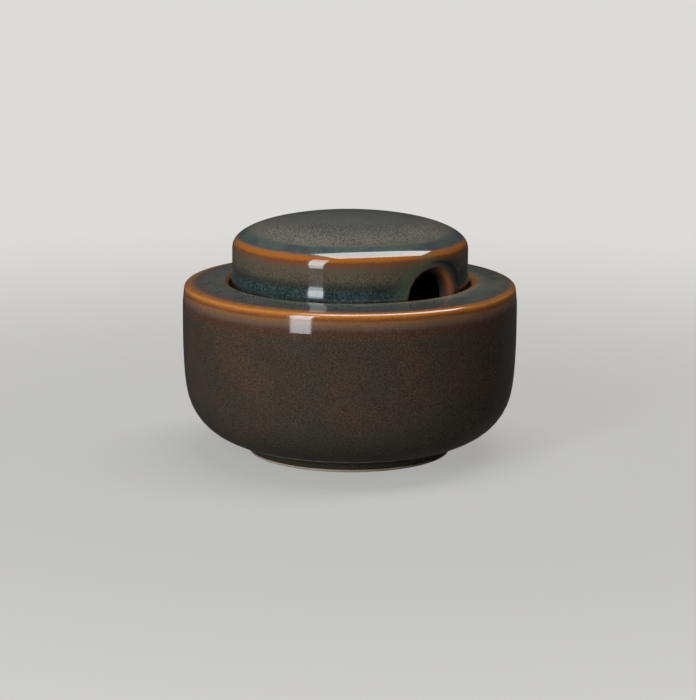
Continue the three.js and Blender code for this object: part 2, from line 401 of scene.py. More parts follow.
def bowl_corners(s):
    """The bowl's section: under the foot, up the outside, over the shoulder, and down the inside."""
    upright = Vector((0.0, 0.0, 1.0))
    level = Vector((1.0, 0.0, 0.0))
    lean = Vector((math.sin(s.wall_draft), 0.0, math.cos(s.wall_draft)))
    underside = Vector((math.cos(s.underside_rise), 0.0, math.sin(s.underside_rise)))

    foot_top = section_point(s.foot_radius, s.foot_height)
    waist = section_point(s.radius, s.waist_height)
    outer_corner = meet(foot_top, underside, waist, lean)

    inner_lean_start = waist + Vector((-lean.z, 0.0, lean.x)) * s.wall
    inner_waist = meet(section_point(s.radius - s.wall, s.waist_height), upright, inner_lean_start, lean)
    floor_top = s.foot_recess + s.floor
    inner_corner = meet(section_point(0.0, floor_top), level, inner_lean_start, lean)

    recess_top = s.shoulder_height + s.shoulder_rise
    ledge = recess_top - s.recess_depth
    foot_inner = s.foot_radius - s.foot_width
    return [
        (section_point(0.0, s.foot_recess), 0.0),
        (section_point(foot_inner, s.foot_recess), s.foot_round),
        (section_point(foot_inner, 0.0), s.foot_round),
        (section_point(s.foot_radius, 0.0), s.foot_round),
        (foot_top, s.foot_round),
        (outer_corner, s.corner_round),
        (waist, s.wall_ease),
        (section_point(s.radius, s.shoulder_height - s.glaze_drop), s.glaze_roll),
        (section_point(s.radius - s.glaze_step, s.shoulder_height), s.rim_round),
        (section_point(s.recess_radius, recess_top), s.recess_round),
        (section_point(s.recess_radius, ledge), s.recess_fillet),
        (section_point(s.mouth_radius, ledge), s.ledge_round),
        (section_point(s.mouth_radius, ledge - s.ledge_thickness), s.ledge_round),
        (section_point(s.radius - s.wall, s.shoulder_height - s.shoulder_thickness), s.shoulder_fillet),
        (inner_waist, s.wall_ease - s.wall),
        (inner_corner, s.corner_round - s.wall),
        (section_point(0.0, floor_top), 0.0),
    ]


class SUGARBOWL_OT_make_bowl(bpy.types.Operator):
    """Model the bowl: its section is drawn, turned and smoothed"""

    bl_idname = "sugar_bowl.make_bowl"
    bl_label = "Make Bowl"
    bl_options = {"REGISTER", "UNDO"}

    def execute(self, context):
        settings = context.scene.sugar_bowl
        sizes = settings.bowl
        corners = bowl_corners(sizes)
        bowl = start_section("glazed_bowl", corners[0][0].z)
        draw_rounded_section(corners, settings.fineness)
        turn_section(settings.fineness.bowl_steps)
        bpy.ops.object.mode_set(mode="OBJECT")
        smooth_piece(bowl, settings.fineness.bowl_smoothing)

        middle = Vector((0.0, 0.0, 0.5 * sizes.shoulder_height))
        ledge = sizes.shoulder_height + sizes.shoulder_rise - sizes.recess_depth

        def inside(centre, normal):
            return normal.dot(centre - middle) < 0 and 2 * sizes.foot_recess < centre.z < ledge

        bowl.data.materials.append(bowl_glaze(settings))
        assign_faces(bowl, liner_glaze(settings), inside)
        assign_faces(bowl, bare_clay(settings), lambda centre, normal: centre.z < sizes.bare_height)
        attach(bowl, "bowl")
        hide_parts("bowl")
        return {"FINISHED"}


# Lid


def held(share):
    """A share held between nought and one."""
    return min(1.0, max(0.0, share))


class SectionLine:
    """A finely stepped stretch of a section, looked up by the distance along it or by height."""

    def __init__(self, points):
        self.points = points
        self.distances = [0.0]
        for a, b in zip(points, points[1:]):
            self.distances.append(self.distances[-1] + (b - a).length)

    def at(self, distance):
        """The point at a distance along the line."""
        for i in range(1, len(self.points)):
            if distance <= self.distances[i] or i == len(self.points) - 1:
                span = self.distances[i] - self.distances[i - 1]
                return self.points[i - 1].lerp(self.points[i], (distance - self.distances[i - 1]) / span)

    def distance_at_height(self, height):
        """Distance along the line to where it first reaches a height."""
        for i in range(1, len(self.points)):
            low, high = self.points[i - 1].z, self.points[i].z
            if low <= height <= high and low < high:
                share = (height - low) / (high - low)
                return self.distances[i - 1] + share * (self.distances[i] - self.distances[i - 1])
        raise ValueError("the section doesn't reach that height")

    def distance_to(self, point):
        """Distance along the line to the place on it that is nearest to a point."""
        found = []
        for start, here, there in zip(self.distances, self.points, self.points[1:]):
            share = held(intersect_point_line(point, here, there)[1])
            nearest = here.lerp(there, share)
            found.append(((nearest - point).length, start + share * (there - here).length))
        return min(found)[1]


def dome_points(radius, start, crown, edge, flat, steps):
    """The dome in section: it leaves the skirt upright and ends level on the axis."""
    return interpolate_bezier(
        section_point(radius, start),
        section_point(radius, start + edge),
        section_point(flat, start + crown),
        section_point(0.0, start + crown),
        steps + 1,
    )


class LidSection:
    """The lid's section as rows of points, with both walls stepped alike beside the notch."""

    WALL_ROWS = 8  # steps from the base to the arch's crown, on both walls
    OUTER_DOME_ROWS = 18
    INNER_DOME_ROWS = 12
    FINE = 200  # steps of the lines that the rows are picked from
    POOL_OUT = 0.6  # share of the pooled glaze's bulge that lies outside the skirt's radius
    ON_ROW = 0.01 * MM  # how near to a row a vertex of that row lies

    def __init__(self, s):
        inner_radius = s.radius - s.wall
        shrink = inner_radius / s.radius
        thick = s.radius + self.POOL_OUT * s.pool_bulge
        thin = thick - s.pool_bulge
        tuck = s.wall - s.land - s.inner_round
        self.top = s.base + s.notch_spring + s.notch_radius
        self.inner_crown = self.top - s.notch_drop
        self.arch_radii = (s.notch_inner, s.notch_radius)
        self.wall_radii = (inner_radius, s.radius)
        tuck_arc = []
        for i in range(self.FINE + 1):
            turn = 0.5 * math.pi * i / self.FINE
            tuck_arc.append(section_point(
                s.radius - tuck + (thick - s.radius + tuck) * math.sin(turn),
                s.base + s.tuck_height * (1 - math.cos(turn)),
            ))
        pool = [section_point(thick, s.base + s.pool_full), section_point(thin, s.base + s.pool_top)]
        outer_dome = (thin, s.base + s.skirt, s.crown, s.crown_edge, s.crown_flat)
        inner_start = s.base + s.skirt - s.top
        inner_dome = (inner_radius, inner_start, s.crown, s.crown_edge * shrink, s.crown_flat * shrink)
        self.outer = SectionLine(tuck_arc + pool + dome_points(*outer_dome, self.FINE))
        inner_foot = section_point(inner_radius, s.base + s.inner_round)
        self.inner = SectionLine([inner_foot] + dome_points(*inner_dome, self.FINE))

        tucked = self.outer.distance_at_height(s.base + s.tuck_height)
        heights = (s.pool_full, s.pool_top - s.pool_bulge, s.pool_top + s.pool_bulge)
        outer_stops = [0.0, tucked / 3, 2 * tucked / 3, tucked]
        outer_stops += [self.outer.distance_at_height(s.base + height) for height in heights]
        crown = self.outer.distance_at_height(self.top)
        outer_stops += [0.5 * (outer_stops[-1] + crown), crown]
        outer_wall = [self.outer.at(stop) for stop in outer_stops]
        reach = self.inner.distance_at_height(self.inner_crown)
        inner_wall = [self.inner.at(reach * i / self.WALL_ROWS) for i in range(self.WALL_ROWS + 1)]
        clear = self.top + s.land
        dome_start = self.outer.distance_at_height(s.base + s.skirt)
        above_arch = self.outer.at(0.5 * (crown + dome_start))
        outer_cap = [above_arch] + [p for p in dome_points(*outer_dome, self.OUTER_DOME_ROWS) if p.z > clear]
        inner_clear = self.inner_crown + s.land
        inner_above = [p for p in dome_points(*inner_dome, self.INNER_DOME_ROWS) if p.z > inner_clear]
        round_middle = inner_foot + Vector((1 - math.sqrt(0.5), 0.0, -math.sqrt(0.5))) * s.inner_round
        base = [section_point(inner_radius + s.inner_round, s.base), round_middle]

        self.rows = outer_cap[::-1] + outer_wall[::-1] + base + inner_wall + inner_above
        self.outer_top = len(outer_cap)
        self.outer_base = self.outer_top + self.WALL_ROWS
        self.inner_base = self.outer_base + len(base) + 1
        self.inner_top = self.inner_base + self.WALL_ROWS
        self.sides = [self.side(row) for row in range(len(self.rows))]

    def on_base(self, place):
        """Tells whether a vertex belongs to the rows of the base, from one wall to the other."""
        flat = section_point(place.xy.length, place.z)
        base = self.rows[self.outer_base:self.inner_base + 1]
        return min((point - flat).length for point in base) < self.ON_ROW

    def side(self, row):
        """The wall a row is on, the distances up it to the row and the crown, and the arch's radius."""
        if row <= self.outer_base:
            line, crown_row, radius = self.outer, self.outer_top, self.arch_radii[1]
        elif row >= self.inner_base:
            line, crown_row, radius = self.inner, self.inner_top, self.arch_radii[0]
        else:
            return None
        return line, line.distance_to(self.rows[row]), line.distance_to(self.rows[crown_row]), radius

    def half_width(self, row):
        """Half of the notch's width at a row. The notch narrows from the skirt's outside to its inside."""
        narrow, wide = self.arch_radii
        if row < self.outer_top:
            return wide
        inside, outside = self.wall_radii
        share = held((self.rows[row].x - inside) / (outside - inside))
        return narrow + share * (wide - narrow)


class SUGARBOWL_OT_make_lid(bpy.types.Operator):
    """Model the lid: its section is drawn and turned, and the spoon notch is opened in the skirt"""

    bl_idname = "sugar_bowl.make_lid"
    bl_label = "Make Lid"
    bl_options = {"REGISTER", "UNDO"}

    NOTCH_COLUMNS = 5  # steps from the notch's middle to its side
    EASE_REACH = 2.1  # how far the grid eases round the arch, in notch radii
    EASE_LIFT = 6.0  # how much sooner the easing fades above the arch, to leave the dome's edge alone
    EDGE_CREASE = 0.3  # how well the smoothing keeps the notch's edges
    EDGE_INSET = 1.2 * MM  # width of the strip of faces that holds the notch's wall flat beside its edges
    LINER_MARGIN = 0.1  # how far into the wall a face of the inside may lie, in wall thicknesses

    def execute(self, context):
        settings = context.scene.sugar_bowl
        sizes = settings.lid
        steps = settings.fineness.lid_steps
        section = LidSection(sizes)
        lid = start_section("glazed_lid", section.rows[0].z)
        for here, there in zip(section.rows, section.rows[1:]):
            draw_straight(here, there)
        turn_section(steps)
        self.open_notch(lid, section, steps)
        bpy.ops.object.mode_set(mode="OBJECT")
        smooth_piece(lid, settings.fineness.lid_smoothing)

        middle = Vector((0.0, 0.0, sizes.base + 0.5 * sizes.skirt))
        liner_radius = sizes.radius - (1 - self.LINER_MARGIN) * sizes.wall

        def inside(centre, normal):
            return normal.dot(centre - middle) < 0 and centre.xy.length < liner_radius

        lid.data.materials.append(lid_glaze(settings))
        assign_faces(lid, liner_glaze(settings), inside)
        bare_top = sizes.base + sizes.bare_height
        assign_faces(lid, bare_clay(settings), lambda centre, normal: centre.z < bare_top)
        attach(lid, "lid")
        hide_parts("lid")
        return {"FINISHED"}

    def open_notch(self, lid, section, steps):
        """Eases the grid round the arch, removes the faces inside it and bridges both arches with a wall."""
        bpy.ops.mesh.select_mode(type="FACE")
        bpy.ops.mesh.select_all(action="DESELECT")
        mesh = bmesh.from_edit_mesh(lid.data)
        column_angle = 2 * math.pi / steps
        places = {}
        for vert in mesh.verts:
            radius = vert.co.xy.length
            flat = section_point(radius, vert.co.z)
            row = min(range(len(section.rows)), key=lambda i: (section.rows[i] - flat).length_squared)
            column = round(math.atan2(vert.co.x, -vert.co.y) / column_angle)
            places[vert] = (row, column)
        for face in mesh.faces:
            rows = [places[vert][0] for vert in face.verts]
            columns = [places[vert][1] for vert in face.verts]
            within_rows = min(rows) >= section.outer_top and max(rows) <= section.inner_top
            face.select_set(within_rows and max(abs(column) for column in columns) <= self.NOTCH_COLUMNS)
        for vert, (row, column) in places.items():
            self.ease_vertex(vert, row, column, section, column_angle)
        bmesh.update_edit_mesh(lid.data)
        bpy.ops.mesh.delete(type="FACE")

        bpy.ops.mesh.select_mode(type="EDGE")
        bpy.ops.mesh.select_all(action="DESELECT")
        bpy.ops.mesh.select_non_manifold(extend=False)
        mesh = bmesh.from_edit_mesh(lid.data)
        for edge in mesh.edges:
            if edge.select and all(section.on_base(vert.co) for vert in edge.verts):
                edge.select_set(False)
        bmesh.update_edit_mesh(lid.data)
        bpy.ops.transform.edge_crease(value=self.EDGE_CREASE)
        bpy.ops.mesh.bridge_edge_loops()
        bpy.ops.mesh.inset(thickness=self.EDGE_INSET)
        bpy.ops.mesh.select_all(action="DESELECT")
        bpy.ops.mesh.select_non_manifold(extend=False)
        bpy.ops.mesh.fill_holes(sides=4)
        bpy.ops.mesh.select_all(action="SELECT")
        bpy.ops.mesh.normals_make_consistent(inside=False)

    def ease_vertex(self, vert, row, column, section, column_angle):
        """Moves a vertex along the surface, so that the block of faces at the notch takes the arch's form."""
        if abs(column) * column_angle >= 0.5 * math.pi:
            return
        side_angle = self.NOTCH_COLUMNS * column_angle
        side = section.sides[row]
        across = math.sin(column * column_angle) / math.sin(side_angle)
        up = 1.0 + (side[1] - side[2]) / side[3] if side else -1.0  # one at the crown, nought at the spring
        block = max(abs(across), up) if up > 0 else abs(across)
        spread = max(abs(across), 1.0 + self.EASE_LIFT * (up - 1.0))
        if spread >= self.EASE_REACH:
            return
        fade = held((self.EASE_REACH - spread) / (self.EASE_REACH - 1.0))
        weight = fade * fade * (3 - 2 * fade)  # eased at both ends
        shrink = block / math.hypot(across, up) if up > 0 else 1.0
        here = section.rows[row]
        x = here.x * math.sin(column * column_angle)
        x += weight * (across * shrink * section.half_width(row) - x)
        place = here
        if up > 0:
            line, distance, _, radius = side
            place = line.at(distance + weight * (up * shrink - up) * radius)
        vert.co = (x, -math.sqrt(max(0.0, place.x ** 2 - x ** 2)), place.z)


# Glaze


class NodeBench:
    """Adds and links the nodes of one material with short calls."""

    MIX_COLOURS = (6, 7)  # a Mix node has a pair of inputs for each kind of value
    MIXED_COLOUR = 2

    def __init__(self, name):
        self.material = bpy.data.materials.new(name)
        self.material.use_nodes = True
        self.tree = self.material.node_tree
        self.tree.nodes.clear()
        self.millimetres = None

    def add(self, kind, **settings):
        node = self.tree.nodes.new(kind)
        for key, value in settings.items():
            setattr(node, key, value)
        return node

    def put(self, socket, value):
        """Links a socket, or sets it to a number or colour."""
        if isinstance(value, bpy.types.NodeSocket):
            self.tree.links.new(value, socket)
        else:
            socket.default_value = value

    def maths(self, operation, *values):
        node = self.add("ShaderNodeMath", operation=operation)
        for socket, value in zip(node.inputs, values):
            self.put(socket, value)
        return node.outputs[0]

    def vector(self, operation, *values):
        node = self.add("ShaderNodeVectorMath", operation=operation)
        for socket, value in zip(node.inputs, values):
            self.put(socket, value)
        return node.outputs["Value" if operation in ("LENGTH", "DOT_PRODUCT") else "Vector"]

    def scaled(self, vector, scale):
        node = self.add("ShaderNodeVectorMath", operation="SCALE")
        self.put(node.inputs[0], vector)
        self.put(node.inputs["Scale"], scale)
        return node.outputs["Vector"]

    def places(self):
        """The piece's own coordinates in millimetres."""
        if self.millimetres is None:
            self.millimetres = self.scaled(self.add("ShaderNodeTexCoord").outputs["Object"], 1 / MM)
        return self.millimetres

    def noise(self, vector, feature, detail=2.0, roughness=0.5):
        """Noise with features of a given size, in the vector's own units."""
        node = self.add("ShaderNodeTexNoise")
        self.put(node.inputs["Vector"], vector)
        node.inputs["Scale"].default_value = 1 / feature
        node.inputs["Detail"].default_value = detail
        node.inputs["Roughness"].default_value = roughness
        return node.outputs[0]

    def swing(self, value, amount):
        """A noise value turned into a swing about nought."""
        return self.maths("MULTIPLY", self.maths("SUBTRACT", value, 0.5), 2 * amount)

    def spread(self, value, low, high, to_low=0.0, to_high=1.0):
        """Eases a value from one range to another, held at both ends."""
        node = self.add("ShaderNodeMapRange", interpolation_type="SMOOTHSTEP")
        for socket, number in zip(node.inputs, (value, low, high, to_low, to_high)):
            self.put(socket, number)
        return node.outputs[0]

    def together(self, first, *others):
        """The product of several values."""
        for other in others:
            first = self.maths("MULTIPLY", first, other)
        return first

    def between(self, value, start, full, fading, end):
        """One inside a range and nought outside it, eased at both ends."""
        return self.together(self.spread(value, start, full), self.spread(value, end, fading))

    def bands(self, along, stops):
        """Colours along a distance, from a list of distances and colours."""
        first, last = stops[0][0], stops[-1][0]
        node = self.add("ShaderNodeValToRGB")
        ramp = node.color_ramp
        while len(ramp.elements) < len(stops):
            ramp.elements.new(1.0)
        for element, (distance, colour) in zip(ramp.elements, stops):
            element.position = (distance - first) / (last - first)
            element.color = (*colour, 1.0)
        self.put(node.inputs[0], self.maths("DIVIDE", self.maths("SUBTRACT", along, first), last - first))
        return node.outputs[0]

    def mix(self, share, first, second):
        """The first colour, with a share of the second."""
        node = self.add("ShaderNodeMix", data_type="RGBA")
        self.put(node.inputs[0], share)
        for number, value in zip(self.MIX_COLOURS, (first, second)):
            linked = isinstance(value, bpy.types.NodeSocket)
            self.put(node.inputs[number], value if linked else (*value, 1.0))
        return node.outputs[self.MIXED_COLOUR]

    def surface(self, colour, roughness, height, relief, ior):
        """A shader with a colour, a roughness and a relief."""
        shader = self.add("ShaderNodeBsdfPrincipled")
        self.put(shader.inputs["Base Color"], colour)
        self.put(shader.inputs["Roughness"], roughness)
        shader.inputs["IOR"].default_value = ior
        bump = self.add("ShaderNodeBump")
        bump.inputs["Strength"].default_value = 1.0
        bump.inputs["Distance"].default_value = relief
        self.put(bump.inputs["Height"], height)
        self.put(shader.inputs["Normal"], bump.outputs[0])
        return shader.outputs[0]

    def finish(self, shader):
        output = self.add("ShaderNodeOutputMaterial")
        self.put(output.inputs["Surface"], shader)
        return self.material


GLAZE_IOR = 1.55
GLAZE_RELIEF = 0.005 * MM
CLAY_IOR = 1.45
CLAY_RELIEF = 0.08 * MM
PAPER_IOR = 1.3
PAPER_RELIEF = 0.01 * MM
NOISE_SPAN = (0.3, 0.7)  # where most of a noise's values lie
FLAME_SIDE = (0.72, -0.69, 0.0)  # the side that faced the flame in the kiln, where the glaze is greener

LEAST_SPECKLING = 0.3  # on the edges, where the glaze is thin
LINER_SPECKLING = 0.7

# All distances in the glazes are in millimetres.
RECESS_DIP = 10.5  # in from the bowl's rim, where the shoulder falls into the recess
NOTCH_RAGGEDNESS = 0.3  # how far the glaze's edge wanders round the notch

# How far streaks and slow drifts move the bands of each glaze.
LID_WANDER = (0.55, 1.0)
NOTCH_WANDER = (0.3, 0.5)
BOWL_WANDER = (0.5, 0.8)
LINER_WANDER = (2.0, 6.0)


class GlazeFeatures:
    """What every glaze reads: height, distance from the axis, and the noises that break its bands up."""

    LEVEL = (1.0, 1.0, 0.0)  # leaves the height out of a place
    RUNNING = (1.0, 1.0, 0.14)  # draws a noise out into upright runs
    SETTLED = (1.0, 1.0, 0.8)  # draws it out slightly

    # The size of each noise's features, its detail and its roughness.
    STREAK = (0.8, 2.0, 0.7)
    DRIFT = (17.0, 2.0, 0.5)
    CLOUD = (6.0, 3.0, 0.55)
    FLECK = (0.65, 3.0, 0.8)
    GRAIN = (0.35, 1.0, 0.6)
    WAVE = (8.0, 1.0, 0.4)

    TOP_BLEND = (-8.0, -3.0)  # heights from an edge, between which the wall becomes the top
    DIP_BLEND = 1.5  # half of the distance over which a surface begins to fall again
    DIP_FOOT = (-16.0, -11.0)  # heights from an edge, between which that fall ends
    PATCH_BLEND = 1.5  # distance over which a band of patches comes and goes
    PATCHES = (0.32, 0.56)  # values of the clouds that become patches
    FLECKS = (0.45, 0.6)  # values of the flecks' noise that become flecks
    GATHERING = 0.1  # how much the clouds gather the flecks
    GRAIN_SHADE = 1.1  # how much the grain lightens and darkens a colour
    GRAIN_HEIGHT = 0.1  # of the grain's relief, beside the slow wave's
    CLOUDED = (0.35, 0.7)  # values of the clouds, between which the glaze becomes rougher
    GLOSS = (0.05, 0.11)  # its roughness there
    DRYNESS = 0.28  # roughness that is added where it is dry

    def __init__(self, bench):
        self.bench = bench
        place = bench.places()
        split = bench.add("ShaderNodeSeparateXYZ")
        bench.put(split.inputs[0], place)
        self.x, self.y, self.height = split.outputs
        self.radius = bench.vector("LENGTH", bench.vector("MULTIPLY", place, self.LEVEL))
        self.flame = bench.vector("DOT_PRODUCT", place, FLAME_SIDE)
        runs = bench.vector("MULTIPLY", place, self.RUNNING)
        grains = bench.vector("MULTIPLY", place, self.SETTLED)
        self.streak = bench.noise(runs, *self.STREAK)
        self.drift = bench.noise(place, *self.DRIFT)
        self.cloud = bench.noise(place, *self.CLOUD)
        self.fleck = bench.noise(grains, *self.FLECK)
        self.grain = bench.noise(grains, *self.GRAIN)
        self.wave = bench.noise(place, *self.WAVE)

    def past_edge(self, edge_radius, edge_height, dip=None):
        """Distance along the surface from an outer edge: positive inwards on top, negative down the wall.

        Further in than a dip the surface falls again, and the distance still grows.
        """
        bench = self.bench
        inward = bench.maths("SUBTRACT", edge_radius / MM, self.radius)
        above = bench.maths("SUBTRACT", self.height, edge_height / MM)
        on_top = bench.spread(above, *self.TOP_BLEND)
        if dip is not None:
            past_dip = bench.spread(inward, dip - self.DIP_BLEND, dip + self.DIP_BLEND)
            falling = bench.together(past_dip, bench.spread(above, *self.DIP_FOOT))
            above = bench.together(above, bench.spread(falling, 0.0, 1.0, 1.0, -1.0))
        return bench.maths("ADD", bench.together(inward, on_top), above)

    def wandering(self, along, streak_amount, drift_amount):
        """A distance that runs and drifts about, as melted glaze does."""
        bench = self.bench
        streaks = bench.swing(self.streak, streak_amount)
        drifts = bench.swing(self.drift, drift_amount)
        return bench.maths("ADD", along, bench.maths("ADD", streaks, drifts))

    def speckled(self, body, flecks, amount):
        """Breaks a colour up with flecks of another and with light and dark grain, by an amount up to one."""
        bench = self.bench
        gathered = bench.maths("ADD", self.fleck, bench.swing(self.cloud, self.GATHERING))
        colour = bench.mix(bench.together(bench.spread(gathered, *self.FLECKS), amount), body, flecks)
        shade = bench.together(bench.swing(self.grain, self.GRAIN_SHADE), amount)
        return bench.scaled(colour, bench.maths("ADD", shade, 1.0))

    def patched(self, body, patches, along, start, end):
        """Lets cloudy patches of another colour into a band, from one distance to another."""
        bench = self.bench
        within = bench.between(along, start, start + self.PATCH_BLEND, end - self.PATCH_BLEND, end)
        share = bench.together(within, bench.spread(self.cloud, *self.PATCHES))
        return bench.mix(share, body, patches)

    def glossy(self, colour, dry=None):
        """The gloss, with a slow wave and a fine grain in its surface, and duller where the glaze is dry."""
        bench = self.bench
        relief = bench.maths("ADD", self.wave, bench.together(self.fleck, self.GRAIN_HEIGHT))
        roughness = bench.spread(self.cloud, *self.CLOUDED, *self.GLOSS)
        if dry is not None:
            roughness = bench.maths("ADD", roughness, bench.together(dry, self.DRYNESS))
        return bench.finish(bench.surface(colour, roughness, relief, GLAZE_RELIEF, GLAZE_IOR))


def lid_glaze(settings):
    """Reactive glaze on the lid: amber on the edge, blue-grey and stone on the dome, olive on the skirt."""
    sizes, g = settings.lid, settings.glaze
    bench = NodeBench("lid_glaze")
    features = GlazeFeatures(bench)
    edge = features.past_edge(sizes.radius, sizes.base + sizes.skirt)
    along = features.wandering(edge, *LID_WANDER)
    body = bench.bands(along, [
        (-12.0, g.pool), (-8.2, g.pool), (-6.6, g.ink), (-4.2, g.olive), (-1.6, g.olive), (-0.3, g.umber),
        (1.4, g.rust), (2.3, g.amber), (3.3, g.amber), (4.3, g.copper), (5.6, g.slate), (9.1, g.slate),
        (11.0, g.sage), (14.0, g.sand), (18.0, g.sand), (27.0, g.stone), (47.0, g.stone),
    ])
    ring_start, ring_end = 4.8, 10.5
    body = features.patched(body, g.verdigris, along, ring_start, ring_end)
    flecks = bench.bands(along, [
        (-12.0, g.fleck), (-8.2, g.fleck), (-6.0, g.moss), (-1.4, g.umber), (1.2, g.rust), (3.5, g.copper),
        (6.0, g.verdigris), (9.0, g.stone), (12.0, g.pepper), (47.0, g.pepper),
    ])
    on_skirt = bench.spread(along, 0.5, -3.0)
    on_dome = bench.spread(along, 7.0, 12.0)
    amount = bench.maths("MAXIMUM", bench.maths("MAXIMUM", on_skirt, on_dome), LEAST_SPECKLING)
    colour = features.speckled(body, flecks, amount)
    return features.glossy(*notch_break(features, colour, settings))


def notch_break(features, colour, settings):
    """The glaze round the notch, and where it is dry.

    On the notch's edge and wall it is thin and dry. Round them lies a green halo, then a dark pooled ring.
    The ring is full on one side, and on the other the halo runs out into a wide green tint.
    The wall carries painted light: a lit set of bands on the side that faces the key light, and a darker set
    of painted shade on the other side.
    """
    sizes, g = settings.lid, settings.glaze
    bench = features.bench
    rise = bench.maths("SUBTRACT", features.height, (sizes.base + sizes.notch_spring) / MM)
    rise = bench.maths("MAXIMUM", rise, 0.0)
    squares = bench.maths("ADD", bench.maths("POWER", features.x, 2.0), bench.maths("POWER", rise, 2.0))
    outside = bench.maths("SUBTRACT", bench.maths("SQRT", squares), sizes.notch_radius / MM)
    outside = bench.maths("ADD", outside, bench.swing(features.cloud, NOTCH_RAGGEDNESS))
    front = bench.maths("LESS_THAN", features.y, 0.0)

    narrowing = bench.spread(features.x, 2.0, 9.0, 1.8, 1.0)
    spaced = bench.together(outside, narrowing)
    full_side = bench.spread(features.x, -8.0, 3.0, 0.1, 0.85)
    ring = bench.together(bench.spread(spaced, 4.6, 3.0), front, full_side)
    colour = bench.mix(ring, colour, g.pool)
    tint_side = bench.spread(features.x, 3.0, -3.0)
    tint = bench.together(bench.spread(outside, 7.0, 1.0, 0.0, 0.6), front, tint_side)
    colour = bench.mix(tint, colour, g.fern)
    halo = bench.together(bench.spread(spaced, 2.4, 1.2, 0.0, 0.7), front)
    colour = bench.mix(halo, colour, g.fern)

    # Painted light and shade on the notch's wall. The bands are the glaze's own, but they are split by side:
    # the lit set goes on the side that faces the key light and the darker shaded set on the other. Low down,
    # the lit set darkens towards oxblood.
    through = features.wandering(features.radius, *NOTCH_WANDER)
    painted_lit_wall = bench.bands(through, [
        (32.0, g.pool), (33.2, g.ink), (34.2, g.moss), (34.9, g.rust), (35.8, g.amber), (36.4, g.rust),
        (37.0, g.olive),
    ])
    painted_shade_wall = bench.bands(through, [
        (32.0, g.pool), (34.0, g.ink), (35.2, g.moss), (36.2, g.oxblood), (36.9, g.umber),
    ])
    low_down = bench.spread(rise, 6.0, 1.0, 0.0, 0.5)
    painted_lit_wall = bench.mix(low_down, painted_lit_wall, g.oxblood)
    painted_light_side = bench.spread(features.x, 0.0, 7.0)
    wall = bench.mix(painted_light_side, painted_shade_wall, painted_lit_wall)
    edge = bench.together(bench.spread(outside, 1.1, 0.6), front)
    return bench.mix(edge, colour, wall), edge


def bowl_glaze(settings):
    """Reactive glaze on the bowl: amber on the rim, blue-grey on the shoulder, mottled brown on the wall."""
    sizes, g = settings.bowl, settings.glaze
    bench = NodeBench("bowl_glaze")
    features = GlazeFeatures(bench)
    edge = features.past_edge(sizes.radius, sizes.shoulder_height, RECESS_DIP)
    along = features.wandering(edge, *BOWL_WANDER)
    on_shoulder = bench.between(along, 1.0, 3.0, 7.0, 10.0)
    sideways = bench.spread(features.flame, -30.0, 30.0, -0.9, 0.9)
    along = bench.maths("ADD", along, bench.together(on_shoulder, sideways))

    mottled = bench.maths("ADD", features.drift, bench.swing(features.fleck, 0.35))
    higher_up = bench.spread(features.height, 6.0, 40.0, -0.16, 0.06)
    warmth = bench.spread(bench.maths("ADD", mottled, higher_up), 0.22, 0.74)
    wall = bench.mix(warmth, g.moss, g.mauve)
    # The colour at 0.2 on the rim's crest holds a painted sheen on top of the thin glaze's own colour.
    body = bench.bands(along, [
        (-8.6, g.mauve), (-6.4, g.oxblood), (-5.6, g.oxblood), (-4.2, g.umber), (-2.5, g.copper),
        (-1.6, g.rust), (-0.9, g.amber), (0.2, g.honey_and_sheen), (0.9, g.amber), (1.7, g.copper), (3.0, g.umber),
        (4.4, g.haze), (10.0, g.haze), (11.0, g.sage), (12.4, g.sage), (13.2, g.rust), (17.5, g.rust),
        (21.0, g.ink),
    ])
    aside = bench.maths("ADD", features.flame, bench.swing(features.drift, 14.0))
    shoulder = bench.bands(aside, [
        (-52.0, g.mist), (-36.0, g.mist), (-22.0, g.haze), (0.0, g.slate), (18.0, g.haze),
        (34.0, g.verdigris), (52.0, g.sage),
    ])
    shoulder_start, shoulder_end = 3.8, 11.4
    body = features.patched(body, shoulder, along, shoulder_start, shoulder_end)
    by_recess = bench.between(along, 9.6, 11.6, 12.6, 13.4)
    towards_flame = bench.spread(features.flame, 5.0, 36.0, 0.0, 0.8)
    body = bench.mix(bench.together(by_recess, towards_flame), body, g.straw)
    in_recess = bench.between(along, 11.4, 12.6, 16.0, 19.0)
    nearest_flame = bench.spread(features.flame, 31.0, 37.0)
    body = bench.mix(bench.together(in_recess, nearest_flame), body, g.amber)
    on_wall = bench.spread(along, -6.6, -9.4)
    body = bench.mix(on_wall, body, wall)

    flecks = bench.bands(along, [
        (-9.0, g.moss), (-6.6, g.mauve), (-4.4, g.umber), (-2.0, g.copper), (0.8, g.amber), (4.6, g.mauve),
        (9.0, g.verdigris), (11.6, g.olive), (13.4, g.copper), (21.0, g.ink),
    ])
    below_rim = bench.spread(along, -3.0, -8.0)
    inside_rim = bench.spread(along, 3.0, 6.0)
    amount = bench.maths("MAXIMUM", bench.maths("MAXIMUM", below_rim, inside_rim), LEAST_SPECKLING)
    return features.glossy(features.speckled(body, flecks, amount))


def liner_glaze(settings):
    """Glaze inside the bowl and the lid, thicker and darker towards the floor."""
    g = settings.glaze
    bench = NodeBench("liner_glaze")
    features = GlazeFeatures(bench)
    height = features.wandering(features.height, *LINER_WANDER)
    body = bench.bands(height, [
        (6.0, g.pool), (14.0, g.ink), (30.0, g.moss), (46.0, g.mauve), (76.0, g.moss),
    ])
    return features.glossy(features.speckled(body, g.olive, LINER_SPECKLING))


